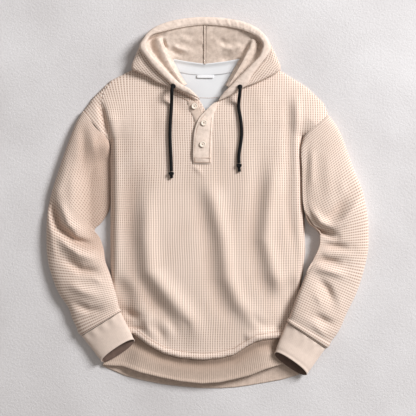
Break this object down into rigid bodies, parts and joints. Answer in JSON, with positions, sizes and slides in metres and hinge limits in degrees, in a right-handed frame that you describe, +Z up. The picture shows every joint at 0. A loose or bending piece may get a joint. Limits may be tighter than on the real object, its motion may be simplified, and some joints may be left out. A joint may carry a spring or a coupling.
{
  "type": "waffle hoodie",
  "caption": "Waffle-knit henley hoodie laid flat on its back, hood open, drop sleeves folded down with the cuffs on the hem band, black drawcords in front.",
  "frame": {"origin": "under the middle of the garment's box, on the surface it lies on", "axes": "+Y towards the hood along the garment's length, +X to its wearer's left as seen from the front, +Z up out of the front"},
  "size_m": [0.711, 0.819, 0.0438],
  "materials": {
    "waffle": "matte waffle knit",
    "jersey": "matte jersey and fine rib",
    "white": "matte plain knit",
    "cord": "matte braid",
    "button": "satin",
    "eyelet": "matte stitched ring"
  },
  "bodies": {
    "root": {"back_panel": "waffle", "front_panel": "waffle", "sleeve_left": "waffle", "sleeve_right": "waffle", "cuff_left": "jersey", "cuff_right": "jersey", "hem_band": "jersey", "hood_outer_left": "waffle", "hood_outer_right": "waffle", "hood_casing": "jersey", "hood_lining_left": "jersey", "hood_lining_right": "jersey", "neck_facing": "white", "neck_tape": "white", "neck_label": "white", "placket_under": "jersey", "placket_top": "jersey", "button_top": "button", "button_middle": "button", "button_low": "button", "eyelet_left": "eyelet", "eyelet_right": "eyelet", "drawcord_left": "cord", "drawcord_right": "cord", "knot_left": "cord", "knot_right": "cord"}
  },
  "joints": []
}
